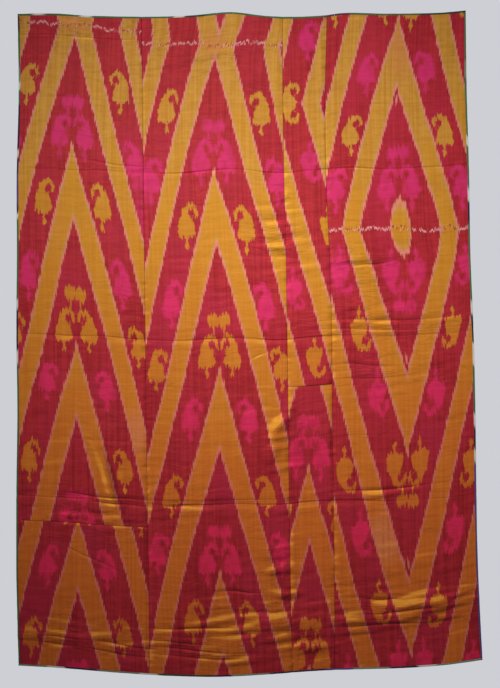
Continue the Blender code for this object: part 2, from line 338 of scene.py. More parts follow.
# The dyed pattern's sizes
REPEAT = 0.620  # from one gold chevron to the next, along the warp
SLOPE = 3.40  # of the chevrons beside the middle
BOW = 2.84  # how much steeper they get with each metre across
BUNDLE = 0.0052  # width of the warp bundles that were tied and dyed together
THREAD = 0.0017  # width of the finer slips inside a bundle

# One loom width of pattern. Low is metres below the mount. Middle says where the pattern's middle
# lies across. Place says which length of the pattern lies there, how far the pattern leans with each
# metre to the right, and how steep its chevrons are beside the usual ones. Run counts from the line
# where the warp was folded when it was dyed. There the pattern has the value meet, and from there it
# grows with turn 1 or shrinks with turn -1. A chevron has its outer point at each whole repeat. Pair
# and far are where the middle pair and the outermost column of almonds start. Squat shortens the
# almonds, at the start of the run and beyond its first metre.
Loom = namedtuple(
    "Loom",
    "name middle places meet band far slips size squat dashes seed turn pair far_out blunt",
    defaults=(1, -0.102, 0.0, 0.0),
)

# How far the almonds of one column and repeat were dyed from their due place, along the run, on the
# left and on the right of the middle. Half is -1 above the fold of the warp, 1 below it and 0 for both.
Slip = namedtuple("Slip", "column repeat half left right")
Middle = namedtuple("Middle", "low across")
Place = namedtuple("Place", "low run lean steep")
LOOMS = {
    "panel_left_upper": Loom(
        name="ikat_left_upper",
        middle=table(
            Middle, (0.0, -0.518), (0.07, -0.519), (0.4, -0.529), (0.64, -0.5245), (1.02, -0.5146),
            (1.25, -0.5146), (1.6, -0.512),
        ),
        places=table(
            Place, (-0.1, -0.14, 0.1, 1.13), (0.04, 0.0, 0.1, 1.13), (0.074, 0.037, 0.1, 1.13),
            (0.403, 0.409, 0.08, 1.12), (0.642, 0.657, 0.1, 1.06), (1.02, 1.029, 0.11, 1.04),
            (1.252, 1.277, 0.11, 1.03), (1.64, 1.649, 0.11, 1.0),
        ),
        meet=-0.409, band=0.254, far=0.570,
        slips=table(
            Slip, (3, -1, 0, 0.025, 0.025), (4, -1, 0, 0.028, 0.028), (2, 0, 0, 0.012, 0.018),
            (3, 0, 0, 0.027, 0.027), (1, 1, 0, -0.003, -0.003), (4, 0, 0, -0.021, -0.021),
            (2, 1, 0, -0.034, -0.022), (3, 1, 0, 0.0, 0.003),
        ),
        size=0.90, squat=(0.945, 1.13), dashes=0.8, seed=1.0,
    ),
    "panel_left_lower": Loom(
        name="ikat_left_lower",
        middle=table(Middle, (1.5, -0.51), (1.79, -0.5106), (2.04, -0.509)),
        places=table(
            Place, (1.5, 1.5, 0.05, 1.0), (1.553, 1.553, 0.05, 1.0), (1.792, 1.801, 0.02, 0.98),
            (2.1, 2.118, 0.0, 0.98),
        ),
        meet=-0.933, band=0.251, far=0.552,
        slips=table(
            Slip, (2, 1, 0, -0.006, 0.003),
        ),
        size=0.90, squat=(1.13, 1.13), dashes=0.0, seed=2.0,
    ),
    "panel_centre": Loom(
        name="ikat_centre",
        middle=table(
            Middle, (0.02, -0.07), (0.05, -0.072), (0.14, -0.0868), (0.48, -0.0905), (0.71, -0.0818),
            (1.09, -0.0722), (1.35, -0.0722), (1.72, -0.0713), (1.98, -0.0605),
        ),
        places=table(
            Place, (-0.1, -0.19, 0.0, 1.05), (0.098, 0.0, 0.0, 1.06), (0.14, 0.04, 0.0, 1.06),
            (0.477, 0.412, 0.0, 1.1), (0.713, 0.66, 0.0, 1.05), (1.094, 1.032, 0.0, 1.01),
            (1.352, 1.28, 0.0, 0.98), (1.724, 1.652, 0.0, 0.93), (1.984, 1.9, 0.0, 0.915),
            (2.1, 2.016, 0.0, 0.91),
        ),
        meet=-0.412, band=0.251, far=0.552,
        slips=table(
            Slip, (3, -1, 0, 0.028, 0.033), (4, -1, 0, 0.036, 0.036), (1, 0, 0, 0.006, 0.006),
            (2, 0, 0, 0.012, 0.018), (3, 0, 0, 0.034, 0.043), (1, 1, 0, 0.006, 0.006),
            (4, 0, 0, 0.012, 0.012), (2, 1, 0, -0.012, -0.012), (1, 2, 0, 0.018, 0.018),
            (4, 1, 0, -0.046, -0.046), (2, 2, 0, -0.017, -0.014),
        ),
        size=0.95, squat=(1.00, 1.19), dashes=0.8, seed=3.0,
    ),
    "strip_upper": Loom(
        name="ikat_strip_upper",
        middle=table(
            Middle, (0.0, 0.341), (0.28, 0.347), (0.59, 0.353), (0.75, 0.358), (0.88, 0.363),
            (1.16, 0.366),
        ),
        places=table(
            Place, (-0.1, -0.421, 0.0, 0.98), (0.279, 0.0, 0.0, 0.98), (1.179, 0.999, 0.0, 0.98),
        ),
        meet=0.632, turn=-1, band=0.248, far=0.561, far_out=0.013,
        slips=table(
            Slip, (3, 0, -1, 0.02, 0.02), (3, 0, 1, 0.033, 0.033), (2, 0, 0, 0.03, 0.03),
            (3, -1, 0, -0.018, -0.018), (4, -1, 0, -0.019, -0.019),
        ),
        size=0.90, squat=(1.00, 1.00), dashes=0.1, seed=4.0,
    ),
    "strip_lower": Loom(
        name="ikat_strip_lower",
        middle=table(Middle, (1.15, 0.203), (1.4, 0.2025), (1.91, 0.209), (2.04, 0.204)),
        places=table(Place, (1.0, 1.0, 0.0, 1.0), (2.1, 2.1, 0.0, 1.0)),
        meet=-1.401, band=0.248, far=0.552,
        slips=table(
            Slip, (1, 0, 0, 0.006, 0.006), (1, 1, 0, 0.012, 0.012),
        ),
        size=0.92, squat=(1.08, 1.08), dashes=0.0, seed=5.0,
    ),
    "panel_right": Loom(
        name="ikat_right",
        middle=table(
            Middle, (0.01, 0.4805), (0.23, 0.4743), (0.57, 0.483), (0.67, 0.4876), (0.75, 0.496),
            (1.11, 0.5065), (1.36, 0.5084), (1.75, 0.5124), (1.99, 0.5208),
        ),
        places=table(
            Place, (-0.1, -0.822, -0.09, 1.03), (0.008, -0.71, -0.09, 1.03), (0.229, -0.462, -0.09, 1.04),
            (0.57, -0.09, -0.05, 1.0), (0.668, 0.0, -0.02, 0.99), (0.753, 0.09, -0.05, 0.97),
            (1.11, 0.462, -0.18, 0.955), (1.364, 0.71, -0.18, 0.98), (1.748, 1.082, -0.16, 0.96),
            (1.987, 1.33, -0.12, 0.96), (2.1, 1.447, -0.12, 0.96),
        ),
        meet=0.090, turn=-1, band=0.255, pair=-0.120, far=0.500,
        slips=table(
            Slip, (1, -1, -1, 0.012, 0.026), (2, -1, -1, 0.018, 0.025), (3, -1, -1, 0.009, 0.028),
            (4, -1, -1, 0.012, 0.021), (1, 0, -1, 0.012, 0.012), (4, -1, 1, 0.012, 0.012),
            (3, -1, 1, 0.012, -0.021), (2, -1, 1, 0.024, -0.006), (1, -1, 1, 0.024, 0.021),
            (4, -2, 1, 0.034, -0.012), (3, -2, 1, 0.012, -0.021), (2, -2, 1, 0.006, -0.028),
            (1, -2, 1, 0.024, 0.024),
        ),
        size=0.94, squat=(1.08, 1.06), blunt=3.1, dashes=1.0, seed=6.0,
    ),
}

# The almond with its bent tip, given as a chart: for places from its tip down to its foot, where its
# left and right sides lie, and the hole under the bent tip. Right is towards the panel's middle.
ALMOND_TALL = 0.161
ALMOND_WIDE = 0.100
NO_HOLE = 0.049  # beyond the almond's sides
Chart = namedtuple("Chart", "down left right hole_left hole_right", defaults=(NO_HOLE, NO_HOLE))
ALMOND = table(
    Chart, (0.0, 0.011, 0.018), (0.006, 0.003, 0.027), (0.015, -0.006, 0.035),
    (0.021, -0.01, 0.038, 0.012, 0.023), (0.03, -0.014, 0.039, 0.007, 0.028),
    (0.04, -0.018, 0.038, 0.006, 0.029), (0.048, -0.02, 0.036, 0.01, 0.029), (0.053, -0.022, 0.018),
    (0.064, -0.025, 0.022), (0.082, -0.028, 0.026), (0.1, -0.029, 0.029), (0.111, -0.028, 0.026),
    (0.118, -0.019, 0.013), (0.122, -0.003, 0.003), (0.138, -0.003, 0.003), (0.144, -0.007, 0.007),
    (0.154, -0.006, 0.006), (0.161, 0.0, 0.001),
)

# The columns of almonds: how far each lies from the panel's middle, and where its tips start,
# counted along the run from a chevron's outer point. Two columns start where their loom says.
Column = namedtuple("Column", "aside start parity")
COLUMNS = (
    Column(0.0390, "pair", 0),
    Column(0.0920, 0.106, 1),
    Column(0.1460, 0.325, 0),
    Column(0.1950, "far", 1),
)
BLOSSOM_ASIDE = 0.0180
BLOSSOM_UP = 0.046
BLOSSOM_WIDE = 0.0190
BLOSSOM_TALL = 0.0215
STALK_ASIDE = 0.0165
STALK_HALF = 0.0021


def srgb(red, green, blue):
    """A colour as the shaders take it, from the usual 0 to 255 numbers."""

    def linear(value):
        value = value / 255
        return value / 12.92 if value <= 0.04045 else ((value + 0.055) / 1.055) ** 2.4

    return linear(red), linear(green), linear(blue), 1


CRIMSON = srgb(178, 44, 52)
CRIMSON_DEEP = srgb(148, 32, 39)
CRIMSON_PINK = srgb(177, 40, 64)
GOLD = srgb(200, 143, 60)
GOLD_DEEP = srgb(182, 122, 42)
GOLD_RICH = srgb(196, 130, 24)
GOLD_OLIVE = srgb(178, 142, 66)
AMBER = srgb(203, 104, 39)  # gold near the foot of the cloth, deeper and more orange
AMBER_DEEP = srgb(191, 91, 34)
MAGENTA = srgb(202, 46, 100)
ROSE = srgb(216, 42, 80)  # magenta near the foot of the cloth
SALMON = srgb(216, 136, 116)
SALMON_DEEP = srgb(212, 114, 94)  # near the foot of the cloth
DASH = srgb(222, 160, 156)  # undyed yarn over the red, and the ticks over the gold
TICK = srgb(150, 52, 34)
STAIN = srgb(204, 118, 76)
# Painted highlight colour that the gold turns to where a fold leans to the light.
PAINTED_HIGHLIGHT_GOLD = srgb(216, 158, 50)
STEEL = srgb(150, 150, 152)
FLOOR_PAINT = srgb(236, 236, 238)
WALL = srgb(205, 207, 213)


# Writing shaders as sums
class Number:
    """A number that a shader's nodes work out at each point of a surface."""

    def __init__(self, tree, socket):
        self.tree = tree
        self.socket = socket

    def made(self, operation, *others):
        node = self.tree.nodes.new("ShaderNodeMath")
        node.operation = operation
        for slot, value in zip(node.inputs, (self,) + others):
            feed(value, slot)
        return Number(self.tree, node.outputs[0])

    def __neg__(self):
        return self * -1.0

    def __rsub__(self, other):
        return -self + other

    def same(self, other):
        return self.made("COMPARE", other, 0.1)

    def rise(self, low, high):
        """0 below low, 1 above high, and smooth between them."""
        node = self.tree.nodes.new("ShaderNodeMapRange")
        node.interpolation_type = "SMOOTHSTEP"
        for name, value in (("Value", self), ("From Min", low), ("From Max", high)):
            feed(value, node.inputs[name])
        return Number(self.tree, node.outputs["Result"])


OPERATIONS = {
    "__add__": "ADD", "__radd__": "ADD", "__sub__": "SUBTRACT", "__mul__": "MULTIPLY",
    "__rmul__": "MULTIPLY", "__truediv__": "DIVIDE", "__abs__": "ABSOLUTE", "least": "MINIMUM",
    "most": "MAXIMUM", "floor": "FLOOR", "sign": "SIGN", "over": "GREATER_THAN", "power": "POWER",
    "power_of_e": "EXPONENT",
}
for label, operation in OPERATIONS.items():
    setattr(Number, label, partialmethod(Number.made, operation))


def feed(value, slot):
    """Puts a number, a colour or another node's result into a node's input."""
    if isinstance(value, Number):
        value.tree.links.new(value.socket, slot)
    else:
        slot.default_value = value


def vector(x, y, z):
    node = x.tree.nodes.new("ShaderNodeCombineXYZ")
    for slot, value in zip(node.inputs, (x, y, z)):
        feed(value, slot)
    return node.outputs[0]


def scatter(x, y, z=0.0):
    """An unrelated number from 0 to 1 for each whole x, y and z."""
    node = x.tree.nodes.new("ShaderNodeTexWhiteNoise")
    node.noise_dimensions = "3D"
    x.tree.links.new(vector(x, y, z), node.inputs["Vector"])
    return Number(x.tree, node.outputs["Value"])


OFF_LATTICE = 0.43  # keeps the noise off its flat whole numbers


def cloud(x, y, z=0.0, detail=2.0, rough=0.5):
    """Smooth noise round 0.5, one unit to a bump."""
    node = x.tree.nodes.new("ShaderNodeTexNoise")
    node.inputs["Scale"].default_value = 1.0
    node.inputs["Detail"].default_value = detail
    node.inputs["Roughness"].default_value = rough
    x.tree.links.new(vector(x, y, z + OFF_LATTICE), node.inputs["Vector"])
    return Number(x.tree, node.outputs["Fac"])


def mixed(first, second, share):
    """first where share is 0 and second where it is 1."""
    node = share.tree.nodes.new("ShaderNodeMix")
    node.data_type = "RGBA"
    feed(share, node.inputs["Factor"])
    feed(first, node.inputs[6])
    feed(second, node.inputs[7])
    return Number(share.tree, node.outputs[2])


def darker(colour, share):
    """colour times share."""
    node = colour.tree.nodes.new("ShaderNodeVectorMath")
    node.operation = "SCALE"
    feed(colour, node.inputs[0])
    feed(share, node.inputs["Scale"])
    return Number(colour.tree, node.outputs[0])


def new_group(name, takes, gives):
    """A node group and its inputs, as numbers by name. gives maps each output to its socket type."""
    tree = bpy.data.node_groups.new(name, "ShaderNodeTree")
    for label in takes:
        tree.interface.new_socket(label, in_out="INPUT", socket_type="NodeSocketFloat")
    for label, kind in gives.items():
        tree.interface.new_socket(label, in_out="OUTPUT", socket_type=kind)
    inlet = tree.nodes.new("NodeGroupInput")
    outlet = tree.nodes.new("NodeGroupOutput")
    return tree, {label: Number(tree, inlet.outputs[label]) for label in takes}, outlet


def use_group(tree, group, **values):
    node = tree.nodes.new("ShaderNodeGroup")
    node.node_tree = group
    for label, value in values.items():
        feed(value, node.inputs[label])
    return {s.name: Number(tree, s) for s in node.outputs}


def almond_group():
    """How far inside the almond a point lies, in metres, from its place right of and below the tip."""
    tree, given, outlet = new_group("almond", ("right", "below"), {"inside": "NodeSocketFloat"})
    ramp = tree.nodes.new("ShaderNodeValToRGB")
    stops = ramp.color_ramp.elements
    while len(stops) < len(ALMOND):
        stops.new(0.5)
    for stop, row in zip(stops, ALMOND):
        stop.position = row.down / ALMOND_TALL
    for stop, row in zip(stops, ALMOND):
        sides = (row.left, row.right, row.hole_left, row.hole_right)
        stop.color = [0.5 + side / ALMOND_WIDE for side in sides]
    feed(given["below"] * (1 / ALMOND_TALL), ramp.inputs[0])
    split = tree.nodes.new("ShaderNodeSeparateColor")
    tree.links.new(ramp.outputs[0], split.inputs[0])
    left, right, hole_left = ((Number(tree, s) - 0.5) * ALMOND_WIDE for s in split.outputs[:3])
    hole_right = (Number(tree, ramp.outputs[1]) - 0.5) * ALMOND_WIDE
    x = given["right"]
    body = (x - left).least(right - x)
    hole = (x - hole_left).least(hole_right - x)
    inside = body.least(-hole)
    # Above the tip and below the foot there is nothing.
    inside = inside.least(given["below"]).least(ALMOND_TALL - given["below"])
    feed(inside, outlet.inputs["inside"])
    return tree


def almonds(tree, given, almond, loom, t):
    """How far inside the gold almonds and inside the magenta ones a point lies."""
    across, run = given["across"], given["run"]
    away = abs(across)
    right = across.over(0.0)
    under = run.over(0.0)
    squat = loom.squat[0] + (loom.squat[1] - loom.squat[0]) * run.rise(0.85, 1.15)
    ragged = (cloud(away * 12, given["down"] * 62, loom.seed + 14, 2.0) - 0.5) * 0.014
    yellow = None
    pink = None
    for k, column in enumerate(COLUMNS):
        start = getattr(loom, column.start) if isinstance(column.start, str) else column.start
        since = t - start + REPEAT / 4
        repeat = (since / REPEAT).floor()
        below = since - repeat * REPEAT - REPEAT / 4
        for slip in loom.slips:
            if slip.column == k + 1:
                here = repeat.same(slip.repeat)
                if slip.half:
                    here = here * (under if slip.half > 0 else 1 - under)
                below = below - here * (slip.left + (slip.right - slip.left) * right)
        luck = scatter(repeat, across.sign() + 3 * k, loom.seed)
        below = below * squat * (1.03 - 0.06 * luck) * (1 / loom.size)
        aside = column.aside + (loom.far_out if column.start == "far" else 0.0)
        x = (aside - away + ragged + (luck - 0.5) * (0.0 if k == 0 else 0.005)) * (1 / loom.size)
        inside = use_group(tree, almond, right=x, below=below)["inside"]
        if k == 0:
            dx = abs(away * (1 / loom.size) - BLOSSOM_ASIDE) * (1 / BLOSSOM_WIDE)
            dy = abs(below + BLOSSOM_UP) * (1 / BLOSSOM_TALL)
            blossom = (1 - (dx.power(2.6) + dy.power(2.6)).power(1 / 2.6)) * BLOSSOM_WIDE
            stalk = (STALK_HALF - abs(away - STALK_ASIDE * loom.size)).least(0.020 - abs(below + 0.018))
            inside = inside.most(blossom).most(stalk)
        # None starts beyond the fold of the warp.
        whole = ((repeat * REPEAT + (start - loom.meet)) * loom.turn).over(-0.01)
        inside = inside - (1 - whole)
        odd = repeat + column.parity
        odd = odd - (odd * 0.5).floor() * 2
        crisp = inside.rise(-0.0018, 0.0020) * odd
        soft = inside.rise(-0.0080, 0.0060) * (1 - odd)
        yellow = crisp if yellow is None else yellow.most(crisp)
        pink = soft if pink is None else pink.most(soft)
    return yellow, pink


def pattern_group(almond, loom):
    """The dyed colours of one loom width."""
    takes = ("across", "run", "down", "steep", "bleed")
    gives = {"colour": "NodeSocketColor", "gold": "NodeSocketFloat"}
    tree, given, outlet = new_group("dyes_" + loom.name, takes, gives)
    across, run, down = given["across"], given["run"], given["down"]
    seed = loom.seed

    bundle = (across / BUNDLE).floor()
    thread = (across / THREAD).floor()
    aside = abs((bundle + 0.5) * BUNDLE)
    slip = (scatter(bundle, seed) - 0.5) * 0.013
    slip = slip + (scatter(thread, seed + 7) - 0.5) * 0.009
    slip = slip + (cloud(across * 420, down * 5, seed, 1.0) - 0.5) * 0.014
    slip = slip + (cloud(across * 60, down * 2.2, seed + 3, 0.0) - 0.5) * 0.010
    t = loom.meet + loom.turn * abs(run) + slip

    # Chevrons: how far inside the gold a point lies, along the warp. Their outer points run out in a
    # pale spike, and the one that the fold of the warp closes into a lozenge is blunt.
    curve = aside * (given["steep"] * SLOPE + BOW * aside)
    spike = (1 - (aside / 0.0055).least(1.0)) * 0.024
    if loom.blunt:
        near_fold = 1 - abs(run).rise(0.07, 0.14)
        blunt = (aside * (1 / 0.0305)).power(4.0).least(20.0)
        curve = curve - loom.blunt * near_fold * aside * (-blunt).power_of_e()
        spike = spike * (1 - 0.7 * near_fold)
    s = t - curve
    m = s - (s / REPEAT).floor() * REPEAT
    inside = (m + spike).least(loom.band - m - 0.3 * spike).most(m + spike - REPEAT)

    # The ground of the red and of the gold, streaked along the warp.
    streak = cloud(across * 170, down * 2.5, seed, 2.0)
    bloom = cloud(across * 9, down * 4, seed + 5, 2.0)
    spots = cloud(across * 30, down * 75, seed + 8, 3.0, 0.6)
    even = (streak * 0.6 + spots * 0.4).rise(0.32, 0.66)
    stained = (-given["bleed"]).rise(0.05, 0.80)
    low = (down + (bloom - 0.5) * 0.4).rise(0.35, 1.75)
    red = mixed(CRIMSON_DEEP, CRIMSON, even)
    pinker = (bloom.rise(0.42, 0.75) * 0.6).most(given["bleed"] * (0.55 + 0.9 * (streak - 0.5)))
    red = mixed(red, CRIMSON_PINK, pinker)
    red = mixed(red, MAGENTA, given["bleed"].rise(0.3, 1.1) * streak.rise(0.25, 0.7))
    red = darker(red, 1 - 0.06 * low)
    ripe = (down + (cloud(across * 12, down * 5, seed + 11, 2.0) - 0.5) * 0.9).rise(0.20, 0.70)
    gold = mixed(mixed(GOLD_DEEP, GOLD, even), GOLD_RICH, ripe * 0.6)
    gold = mixed(gold, mixed(AMBER_DEEP, AMBER, even), low)
    almond_gold = gold
    olive = (1 - inside.rise(0.035, 0.055)) * (1 - low) * 0.4
    gold = mixed(gold, GOLD_OLIVE, olive)
    gold = mixed(gold, STAIN, 0.7 * stained * (streak * 0.5 + spots * 0.5).rise(0.30, 0.55))

    yellow, pink = almonds(tree, given, almond, loom, t)
    blotch = cloud(across * 55, down * 26, seed + 9, 2.0).rise(0.25, 0.60)
    colour = mixed(red, mixed(MAGENTA, ROSE, low), pink * (0.52 + 0.44 * blotch))
    colour = mixed(colour, almond_gold, yellow * 0.96)

    salmon = mixed(SALMON, SALMON_DEEP, low)
    colour = mixed(colour, salmon, inside.rise(-0.004, 0.011) * 0.88)
    colour = mixed(colour, gold, inside.rise(0.018, 0.032))
    if loom.blunt:
        # A pale thread hangs in the red under each inner point.
        hang = m - loom.band
        beside = abs(across).rise(0.0020, 0.0048)
        hang = hang.rise(0.010, 0.020) * (1 - hang.rise(0.034, 0.050)) * (1 - beside)
        colour = mixed(colour, salmon, hang * 0.8)

    # Where the folded warp was tied, a broken zigzag of undyed yarn crosses the panel.
    sway = (scatter(bundle, seed + 21) - 0.5) * 0.007
    sway = sway + (scatter(thread, seed + 22) - 0.5) * 0.008
    sway = sway + (cloud(across * 16, seed, 0.0, 0.0) - 0.5) * 0.024
    kept = (cloud(across * 22, seed + 1, 0.0, 0.0) + loom.dashes * 0.5).rise(0.55, 0.75)
    kept = kept * scatter(bundle, seed + 23).rise(0.05, 0.40)
    dash = (1 - abs(run + sway).rise(0.0014, 0.0044)) * kept
    dark = inside.rise(0.0, 0.02) * scatter(thread, seed + 25).rise(0.25, 0.35)
    dash_colour = mixed(DASH, TICK, dark)
    colour = mixed(colour, dash_colour, dash * min(1.0, loom.dashes * 1.1) * 0.9)
    feed(colour, outlet.inputs["colour"])
    feed(inside.rise(-0.005, 0.015).most(yellow), outlet.inputs["gold"])
    return tree


def attribute(tree, name):
    """The three numbers that the mesh carries under that name."""
    node = tree.nodes.new("ShaderNodeAttribute")
    node.attribute_name = name
    split = tree.nodes.new("ShaderNodeSeparateXYZ")
    tree.links.new(node.outputs["Vector"], split.inputs[0])
    return [Number(tree, s) for s in split.outputs]


def new_material(name, settings):
    made = bpy.data.materials.new(name)
    made.use_nodes = True
    shader = made.node_tree.nodes["Principled BSDF"]
    for label, value in settings.items():
        shader.inputs[label].default_value = value
    return made, made.node_tree, shader


def bumped(shader, height):
    """Bump from a height in metres."""
    node = height.tree.nodes.new("ShaderNodeBump")
    node.inputs["Distance"].default_value = 1.0
    node.inputs["Strength"].default_value = 1.0
    feed(height, node.inputs["Height"])
    height.tree.links.new(node.outputs["Normal"], shader.inputs["Normal"])


def weave_height(across, down, seed):
    """The height of the threads and of the weft's fine ribs, in metres, and the ribs by themselves."""
    ribs = cloud(across * 30, down * 620, seed, 1.0)
    rows = cloud(across * 14, down * 190, seed + 1, 2.0)
    fine = cloud(across * 900, down * 45, seed + 2, 0.0)
    return ribs * 0.00005 + rows * 0.00010 + fine * 0.00002, rows


def crinkle_height(across, down, lively, seed):
    """The height of the small level crinkles, in metres, stronger here and there."""
    waver = cloud(across * 16, down * 9, seed, 1.0) * 2.5
    long = cloud(across * 9, down * 58 + waver, seed + 33, 2.0, 0.5) - 0.5
    short = cloud(across * 24, down * 130, seed + 34, 2.0) - 0.5
    patchy = cloud(across * 6, down * 9, seed + 35, 1.0).rise(0.35, 0.70)
    return (long * 0.0060 + short * 0.0010) * (0.20 + 0.40 * patchy + 0.80 * lively)


def wrinkle_lines(across, down, lively, seed):
    """Thin level wrinkles, from 0 to 1: sharp lines where a stretched noise crosses its middle."""
    coarse = cloud(across * 8, down * 42, seed + 30, 1.0)
    finer = cloud(across * 14, down * 95, seed + 31, 1.0)
    first = (1 - abs(coarse - 0.5) / 0.022).most(0.0)
    second = (1 - abs(finer - 0.5) / 0.040).most(0.0)
    patchy = cloud(across * 7, down * 12, seed + 32, 1.0)
    first = first * (patchy + lively).rise(0.52, 0.85)
    return first.most(second * (patchy + lively).rise(0.66, 1.0) * 0.7)


SILK = {
    "Specular IOR Level": 0.07,
    "Specular Tint": (1.0, 0.80, 0.55, 1.0),
    "Sheen Weight": 0.04,
    "Sheen Roughness": 0.45,
}


def cloth_material(loom, pattern):
    made, tree, shader = new_material(loom.name, SILK)
    across, run, down = attribute(tree, "weave")
    steep, seam, bleed = attribute(tree, "wear")
    mark_distance, mark, lively = attribute(tree, "marks")
    facing_light = attribute(tree, "lie")[0]
    dyed = use_group(tree, pattern, across=across, run=run, down=down, steep=steep, bleed=bleed)
    height, rows = weave_height(across, down, loom.seed)
    wrinkles = wrinkle_lines(across, down, lively, loom.seed)
    wander = mark_distance + (cloud(across * 60, down * 3, loom.seed + 40, 1.0) - 0.5) * 0.0030
    line = (1 - abs(wander) / 0.0031).most(0.0) * mark
    lip = wander.rise(0.0010, 0.0032) * (1 - wander.rise(0.0045, 0.0090)) * mark
    height = height + crinkle_height(across, down, lively, loom.seed)
    height = height - wrinkles * 0.00036 - line * 0.0016
    shade = 0.95 + 0.08 * rows.rise(0.25, 0.62)
    # Painted shade along thin wrinkles and sharp crease lines, painted highlight on the lip below them.
    shade = shade * (1 - 0.18 * wrinkles) * (1 - 0.55 * line) * (1 + 0.18 * lip)
    # Weft lines that stand out dark here and there, and painted shade in the seams.
    lines = cloud(across * 5, down * 270, loom.seed + 6, 1.0).rise(0.62, 0.76)
    shade = shade * (1 - 0.08 * lines)
    shade = shade * (0.72 + 0.28 * seam.rise(0.0002, 0.0026))
    # Painted highlight where a fold leans to the light and painted shade where it leans away, more so
    # low down, where the cloth is darker. On the gold the painted highlight also turns it yellower.
    low = down.rise(0.4, 1.7)
    painted_highlight = facing_light.rise(*LEAN)
    painted_shade = (-facing_light).rise(*LEAN)
    shade = shade * (1 + painted_highlight * (0.24 + 0.13 * low)) * (1 - painted_shade * (0.25 + 0.11 * low))
    lit = mixed(dyed["colour"], PAINTED_HIGHLIGHT_GOLD, painted_highlight * dyed["gold"] * (0.30 + 0.22 * low))
    colour = darker(lit, shade)
    feed(colour, shader.inputs["Base Color"])
    rough = 0.46 + 0.14 * cloud(across * 90, down * 60, loom.seed, 2.0)
    feed(rough, shader.inputs["Roughness"])
    bumped(shader, height)
    return made


# Meshes
def add_object(name, data):
    made = bpy.data.objects.new(name, data)
    scene.collection.objects.link(made)
    return made


def add_mesh(name, points, faces, material, attributes, crisp=0):
    """A smooth mesh of four-sided faces, of which the last crisp ones are flat."""
    mesh = bpy.data.meshes.new(name)
    points = np.ascontiguousarray(points, np.float32)
    faces = np.ascontiguousarray(faces, np.int32)
    mesh.vertices.add(len(points))
    mesh.vertices.foreach_set("co", points.ravel())
    mesh.loops.add(faces.size)
    mesh.loops.foreach_set("vertex_index", faces.ravel())
    mesh.polygons.add(len(faces))
    mesh.polygons.foreach_set("loop_start", np.arange(0, faces.size, 4, dtype=np.int32))
    mesh.update(calc_edges=True)
    mesh.validate()
    mesh.polygons.foreach_set("use_smooth", np.arange(len(faces)) < len(faces) - crisp)
    for label, values in attributes.items():
        layer = mesh.attributes.new(label, "FLOAT_VECTOR", "POINT")
        layer.data.foreach_set("vector", np.ascontiguousarray(values, np.float32).ravel())
    mesh.materials.append(material)
    return add_object(name, mesh)


def surface_normals(x, y, z):
    """Unit normals of a grid of points, towards the face of the cloth."""
    across = np.stack(np.gradient(np.stack([x, y, z]), axis=1), 0)
    down = np.stack(np.gradient(np.stack([x, y, z]), axis=2), 0)
    normal = np.cross(np.moveaxis(down, 0, -1), np.moveaxis(across, 0, -1))
    normal /= np.linalg.norm(normal, axis=-1, keepdims=True)
    return np.where(normal[..., 1:2] > 0, -normal, normal)


def grid_faces(wide, tall, first=0, flip=False):
    c, r = np.meshgrid(np.arange(wide - 1), np.arange(tall - 1), indexing="ij")
    corner = (c * tall + r).ravel() + first
    cells = np.stack([corner, corner + 1, corner + tall + 1, corner + tall], 1)
    return cells[:, ::-1] if flip else cells


def rim_faces(wide, tall, back):
    left_side = np.arange(tall)
    right_side = np.arange((wide - 1) * tall, wide * tall)
    upper = np.arange(0, wide * tall, tall)
    lower = np.arange(tall - 1, wide * tall, tall)
    rim = np.concatenate([left_side, lower[1:], right_side[-2::-1], upper[-2:0:-1]])
    after = np.roll(rim, -1)
    return np.stack([after, rim, back + rim, back + after], 1)


def spread(start, end, longest):
    """Shares from 0 to 1 with steps no longer than longest, and closer at both ends."""
    steps = max(4, math.ceil((end - start) / longest))
    even = np.linspace(0, 1, steps + 1)
    near = 0.0016 / (end - start)
    return np.unique(np.concatenate([even, [near, 2.2 * near, 1 - 2.2 * near, 1 - near]]))


Piece = namedtuple("Piece", "name left right upper lower")
PIECES = (
    Piece("panel_left_upper", "left", "seam_1", None, "left_join"),
    Piece("panel_left_lower", "left", "seam_1", "left_join", None),
    Piece("panel_centre", "seam_1", "seam_2", None, None),
    Piece("strip_upper", "seam_2", "seam_3", None, "strip_join"),
    Piece("strip_lower", "seam_2", "seam_3", "strip_join", None),
    Piece("panel_right", "seam_3", "right", None, None),
)


def panel_grid(piece):
    """Across and down at each point of the panel's grid."""
    top = 0.0 if piece.upper is None else JOINS[piece.upper].left
    bottom = LENGTH if piece.lower is None else JOINS[piece.lower].left
    wide = float(line_across(piece.right, 1.0) - line_across(piece.left, 1.0))
    shares = spread(0, wide, COLUMN)
    rows = spread(top, bottom, ROW)
    u, v = np.meshgrid(shares, rows, indexing="ij")

    def end_down(join, whole, sign):
        if join is None:
            return np.full_like(u, whole)
        return JOINS[join].left + (JOINS[join].right - JOINS[join].left) * u + sign * SEAM_GAP / 2

    start = end_down(piece.upper, 0.0, 1)
    stop = end_down(piece.lower, LENGTH, -1)
    down = start + (stop - start) * v
    left = line_across(piece.left, down) + (SEAM_GAP / 2 if piece.left.startswith("seam") else 0)
    right = line_across(piece.right, down) - (SEAM_GAP / 2 if piece.right.startswith("seam") else 0)
    return left + (right - left) * u, down


def facing(across, down, y):
    """How far the cloth leans up and left towards its light, as a slope, at each point."""
    fall = np.gradient(-y, axis=1) / np.gradient(down, axis=1)
    turn = np.gradient(-y, axis=0) / np.gradient(across, axis=0)
    return fall + TURN_WEIGHT * turn


def weave_numbers(loom, across, low):
    """From the pattern's middle, along its run, and how steep its chevrons are, at each point."""
    lows = [p.low for p in loom.places]
    aside = across - smooth_through([m.low for m in loom.middle], [m.across for m in loom.middle], low)
    steep = smooth_through(lows, [p.steep for p in loom.places], low)
    level = low - smooth_through(lows, [p.lean for p in loom.places], low) * aside
    return aside, smooth_through(lows, [p.run for p in loom.places], level), steep


